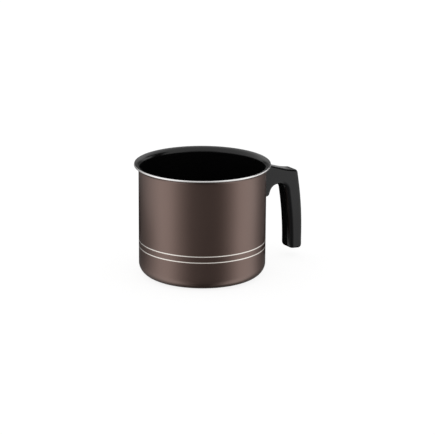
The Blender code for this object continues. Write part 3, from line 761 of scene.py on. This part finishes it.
def non_stick(group):
    """Black non-stick coat: dark pigment with a slightly lighter grain."""
    material, tree, shader = new_material("black non-stick coat", {"Metallic": 0.0, "IOR": 1.45})
    coat = coat_parts(tree, group, Grain_Scale=1800.0, Waviness_Scale=320.0)
    colour = blended(tree, coat["Grain"], (0.0012, 0.0012, 0.0013, 1), (0.0030, 0.0030, 0.0032, 1))
    tree.links.new(colour, shader.inputs["Base Color"])
    tree.links.new(mapped(tree, coat["Cloud"], 0.21, 0.25), shader.inputs["Roughness"])
    bumped(tree, shader, coat["Height"], strength=0.08, distance=0.0002)
    return material


def turned_aluminium(name, group, tone, roughness, metallic):
    """Bare aluminium with tool lines round the pan's axis."""
    material, tree, shader = new_material(name, {"Metallic": metallic})
    lines = coat_parts(tree, group)
    dark = tuple(part * LINE_TONE_SHARE for part in tone)
    colour = blended(tree, lines["Broad Lines"], (*dark, 1), (*tone, 1))
    tree.links.new(colour, shader.inputs["Base Color"])
    smoothest, roughest = (roughness + spread for spread in LINE_ROUGHNESS_SPREAD)
    tree.links.new(mapped(tree, lines["Lines"], smoothest, roughest), shader.inputs["Roughness"])
    bumped(tree, shader, lines["Lines"], strength=0.10, distance=0.0001)
    return material


def moulded_black(group):
    """Black phenolic moulding: satin, with a fine moulded grain."""
    material, tree, shader = new_material("black moulded plastic", {"Metallic": 0.0, "IOR": 1.5})
    coat = coat_parts(tree, group, Grain_Scale=2200.0, Waviness_Scale=160.0, Grain_Share=0.75)
    colour = blended(tree, coat["Cloud"], (0.0028, 0.0028, 0.0032, 1), (0.0045, 0.0045, 0.0051, 1))
    tree.links.new(colour, shader.inputs["Base Color"])
    tree.links.new(mapped(tree, coat["Grain"], 0.18, 0.23), shader.inputs["Roughness"])
    bumped(tree, shader, coat["Height"], strength=0.10, distance=0.0002)
    return material


def zinc_steel(group):
    """Zinc-plated steel with a cloudy passivated surface."""
    material, tree, shader = new_material("zinc plated steel", {"Metallic": 1.0})
    coat = coat_parts(tree, group, Grain_Scale=3000.0, Waviness_Scale=700.0)
    colour = blended(tree, coat["Cloud"], (0.50, 0.51, 0.52, 1), (0.62, 0.63, 0.62, 1))
    tree.links.new(colour, shader.inputs["Base Color"])
    tree.links.new(mapped(tree, coat["Grain"], 0.28, 0.40), shader.inputs["Roughness"])
    bumped(tree, shader, coat["Height"], strength=0.10, distance=0.0001)
    return material


def dress_node(node, material):
    """A CAD node that shows as it is, with a better material."""
    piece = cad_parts[node]
    piece.data.materials.clear()
    piece.data.materials.append(material)


# Studio
def make_camera():
    """The camera at the photograph's viewing angle: turned about the pan's axis, tilted down and rolled a
    little."""
    data = bpy.data.cameras.new("camera")
    data.lens = CAMERA_LENS
    data.sensor_width = SENSOR
    data.clip_start, data.clip_end = CAMERA_CLIP
    camera = bpy.data.objects.new("camera", data)
    bpy.context.scene.collection.objects.link(camera)
    ahead = Vector((0, math.cos(CAMERA_TILT), -math.sin(CAMERA_TILT)))
    right = Vector((1, 0, 0))
    up = right.cross(ahead)
    level = right * math.cos(CAMERA_ROLL) + up * math.sin(CAMERA_ROLL)
    upright = up * math.cos(CAMERA_ROLL) - right * math.sin(CAMERA_ROLL)
    stand = Matrix.Rotation(CAMERA_TURN, 4, "Z")
    axes = Matrix((level, upright, -ahead)).transposed().to_4x4()
    place = Matrix.Translation((CAMERA_OFFSET, -CAMERA_LEVEL_DISTANCE, CAMERA_HEIGHT))
    camera.matrix_world = stand @ place @ axes
    bpy.context.scene.camera = camera


def stage_sheet(name, corners):
    """A flat piece of the stage through its corners."""
    mesh = bpy.data.meshes.new(name)
    mesh.from_pydata(corners, [], [tuple(range(len(corners)))])
    sheet = bpy.data.objects.new(name, mesh)
    bpy.context.scene.collection.objects.link(sheet)
    return sheet


def make_floor():
    """Pale floor: white to the camera, with the soft shadow that the pan casts on it."""
    floor = stage_sheet("floor", [
        (x * FLOOR_REACH, y * FLOOR_REACH, FLOOR_LEVEL) for x, y in ((-1, -1), (1, -1), (1, 1), (-1, 1))])
    floor.visible_glossy = False
    material = bpy.data.materials.new("pale floor")
    material.use_nodes = True
    tree = material.node_tree
    tree.nodes.clear()
    out = tree.nodes.new("ShaderNodeOutputMaterial")
    path = tree.nodes.new("ShaderNodeLightPath")
    matt = add_node(tree, "ShaderNodeBsdfDiffuse", values={"Color": grey(FLOOR_TONE)})
    glow = add_node(tree, "ShaderNodeEmission", values={"Color": grey(1), "Strength": FLOOR_GLOW})
    lit = add_node(tree, "ShaderNodeMixShader", values={
        0: FLOOR_GLOW_SHARE, 1: matt.outputs[0], 2: glow.outputs[0]})
    seen = add_node(tree, "ShaderNodeMixShader", values={
        0: path.outputs["Is Camera Ray"], 1: matt.outputs[0], 2: lit.outputs[0]})
    tree.links.new(seen.outputs[0], out.inputs["Surface"])
    floor.data.materials.append(material)


def smooth_between(tree, value, start, end):
    """A share that goes softly from zero at the start to one at the end."""
    node = add_node(tree, "ShaderNodeMapRange", {"interpolation_type": "SMOOTHSTEP"}, {
        "Value": value, "From Min": start, "From Max": end})
    return node.outputs["Result"]


def math_of(tree, operation, first, second=0.0):
    """A sum, product or the like of two values."""
    return add_node(tree, "ShaderNodeMath", {"operation": operation}, {0: first, 1: second}).outputs[0]


def table_light(tree, azimuth, behind, rise):
    """The table's light goes with the azimuth, dims straight below and is even in a strip far behind."""
    share = add_node(tree, "ShaderNodeMapRange", values={
        "Value": azimuth, "From Min": -math.pi, "From Max": math.pi})
    ramp = add_node(tree, "ShaderNodeValToRGB", values={0: share.outputs["Result"]})
    stops = ramp.color_ramp.elements
    stops[0].position, stops[1].position = 0.0, 1.0
    for angle, level in TABLE_LEVELS[1:-1]:
        stops.new((angle + 180) / 360)
    for stop, (angle, level) in zip(stops, TABLE_LEVELS):
        stop.color = grey(level / TABLE_SCALE)
    light = math_of(tree, "MULTIPLY", ramp.outputs["Color"], TABLE_SCALE)
    under = add_node(tree, "ShaderNodeMapRange", values={
        "Value": smooth_between(tree, rise, *UNDER_RISE), "To Min": UNDER_SHARE, "To Max": 1.0})
    light = math_of(tree, "MULTIPLY", light, under.outputs["Result"])
    far = math_of(tree, "MULTIPLY", smooth_between(tree, behind, *FAR_EDGE),
                  smooth_between(tree, rise, *FAR_RISE))
    return add_node(tree, "ShaderNodeMix", values={0: far, 2: light, 3: FAR_LEVEL}).outputs[0]


def overhead_light(tree, path, front, backwards, rise):
    """The overhead's and the backdrop's light is white, a little dimmer to soft rays, and dimmed low in front
    and low behind."""
    sky = add_node(tree, "ShaderNodeMix", values={0: path.outputs["Is Glossy Ray"], 2: SKY_LEVEL, 3: 1.0})
    ahead = math_of(tree, "MULTIPLY", smooth_between(tree, front, *FRONT_GAP_EDGE),
                    smooth_between(tree, rise, *FRONT_GAP_RISE))
    light = add_node(tree, "ShaderNodeMapRange", values={
        "Value": ahead, "To Min": sky.outputs[0], "To Max": FRONT_GAP_LEVEL})
    hazy = math_of(tree, "MULTIPLY", backwards, smooth_between(tree, rise, *BACK_GAP_RISE))
    light = add_node(tree, "ShaderNodeMapRange", values={
        "Value": hazy, "To Min": light.outputs["Result"], "To Max": BACK_GAP_LEVEL})
    return light.outputs["Result"]


def make_world():
    """Soft studio light. Camera and transmission rays see plain white. All other rays see the studio: a
    pale table below, and a white overhead and backdrop above. They meet at a soft horizon, which tilts down
    to the front and is brought lower behind and to the right at the back."""
    world = bpy.data.worlds.new("studio")
    bpy.context.scene.world = world
    world.use_nodes = True
    tree = world.node_tree
    tree.nodes.clear()
    out = tree.nodes.new("ShaderNodeOutputWorld")
    path = tree.nodes.new("ShaderNodeLightPath")
    way = tree.nodes.new("ShaderNodeTexCoord").outputs["Generated"]
    turned = add_node(tree, "ShaderNodeVectorRotate", {"rotation_type": "Z_AXIS"}, {
        "Vector": way, "Angle": -CAMERA_TURN})
    parts = add_node(tree, "ShaderNodeSeparateXYZ", values={0: turned.outputs[0]})
    right, behind, rise = parts.outputs["X"], parts.outputs["Y"], parts.outputs["Z"]
    front = math_of(tree, "MULTIPLY", behind, -1.0)
    azimuth = math_of(tree, "ARCTAN2", right, front)
    backwards = smooth_between(tree, behind, *BACK_GAP_EDGE)
    beside = math_of(tree, "MULTIPLY", smooth_between(tree, azimuth, *map(math.radians, RIGHT_START)),
                     smooth_between(tree, azimuth, *map(math.radians, RIGHT_END)))

    horizon = rise
    for share, lift in ((front, HORIZON_TILT), (beside, RIGHT_LIFT), (backwards, BACK_LIFT)):
        horizon = math_of(tree, "ADD", horizon, math_of(tree, "MULTIPLY", share, lift))
    studio = add_node(tree, "ShaderNodeMix", values={
        0: smooth_between(tree, horizon, *HORIZON), 2: table_light(tree, azimuth, behind, rise),
        3: overhead_light(tree, path, front, backwards, rise)})
    plain = math_of(tree, "MAXIMUM", path.outputs["Is Camera Ray"], path.outputs["Is Transmission Ray"])
    strength = add_node(tree, "ShaderNodeMix", values={0: plain, 2: studio.outputs[0], 3: 1.0})
    light = add_node(tree, "ShaderNodeBackground", values={
        "Color": grey(1), "Strength": strength.outputs[0]})
    tree.links.new(light.outputs[0], out.inputs["Surface"])


def only_reflected(stage_piece):
    """Out of the camera's sight and of the soft light's way: only reflections show it."""
    stage_piece.visible_camera = False
    stage_piece.visible_diffuse = False
    stage_piece.visible_shadow = False


def from_camera(corners):
    """Places counted across and away from the camera, brought into the part's frame."""
    turn = Matrix.Rotation(CAMERA_TURN, 3, "Z")
    return [turn @ Vector(corner) for corner in corners]


def matt_shade(name, tone):
    """A matt dark material that mirrors nothing."""
    return new_material(name, {"Base Color": grey(tone), "Roughness": 1.0, "Specular IOR Level": 0.0})


def dark_card(name, corners):
    """A dark card that only reflections show."""
    card = stage_sheet(name, from_camera(corners))
    only_reflected(card)
    card.data.materials.append(matt_shade(name, CARD_TONE)[0])


def make_cards():
    """One dark card lies behind the pan as a painted shadow that stands in for the table's shade there, where
    the grip's inner side reflects it. One stands to the right of the handle, well clear of it, where the edge
    between its top and its side reflects it."""
    # Painted shadow: the card behind the pan stands in for the table's shade
    dark_card("painted_shadow_behind", [(across, away, CARD_LEVEL) for across, away in PAINTED_SHADOW_BEHIND])
    dark_card("card_beside", [(CARD_SIDE, away, height) for away, height in CARD_BESIDE])


def make_table_shade():
    """The table grows dimmer close to the pan on its left and right, towards the back. Only reflections
    show this: the shade is a share of black that follows the place on the table, counted across and away
    from the camera."""
    shade = stage_sheet("table_shade", from_camera([(*corner, SHADE_LEVEL) for corner in SHADE_CORNERS]))
    only_reflected(shade)
    material, tree, shader = matt_shade("table shade", 0)
    place = object_position(tree)
    across, away = (
        add_node(tree, "ShaderNodeVectorMath", {"operation": "DOT_PRODUCT"}, {
            0: place, 1: tuple(axis)}).outputs["Value"]
        for axis in from_camera([(1, 0, 0), (0, 1, 0)]))
    aside = math_of(tree, "ABSOLUTE", across)
    band = math_of(tree, "MULTIPLY", smooth_between(tree, aside, *SHADE_NEAR),
                   smooth_between(tree, aside, *SHADE_FAR))
    share = math_of(tree, "MULTIPLY", band, smooth_between(tree, away, *SHADE_BACK))
    strongest = add_node(tree, "ShaderNodeMapRange", values={
        "Value": across, "From Min": -SHADE_NEAR[0], "From Max": SHADE_NEAR[0],
        "To Min": SHADE_SHARES[0], "To Max": SHADE_SHARES[1]})
    share = math_of(tree, "MULTIPLY", share, strongest.outputs["Result"])
    clear = tree.nodes.new("ShaderNodeBsdfTransparent")
    mixed = add_node(tree, "ShaderNodeMixShader", values={
        0: share, 1: clear.outputs[0], 2: shader.outputs[0]})
    tree.links.new(mixed.outputs[0], tree.nodes["Material Output"].inputs["Surface"])
    shade.data.materials.append(material)


def main():
    """The stage, the materials and the dressed pieces."""
    make_camera()
    make_floor()
    make_world()
    make_cards()
    make_table_shade()
    coat = sprayed_coat_group()
    lines = turned_lines_group()
    inside = non_stick(coat)
    pan_materials = [
        inside,
        pearl_coat(coat),
        turned_aluminium("bare cut edge", lines, tone=(0.99, 0.98, 0.97), roughness=0.24, metallic=1.0),
        turned_aluminium("scribed aluminium", lines, tone=(0.99, 0.93, 0.87), roughness=0.32, metallic=0.9),
        turned_aluminium("turned base", lines, tone=(0.84, 0.83, 0.82), roughness=0.30, metallic=1.0),
    ]
    make_pan(pan_materials)
    make_handle(moulded_black(coat))
    for node in RIVETS:
        make_rivet(node, inside)
    steel = zinc_steel(coat)
    dress_node("handle_bracket", steel)
    dress_node("handle_screw", steel)
    bpy.context.scene.view_settings.view_transform = "Standard"


main()
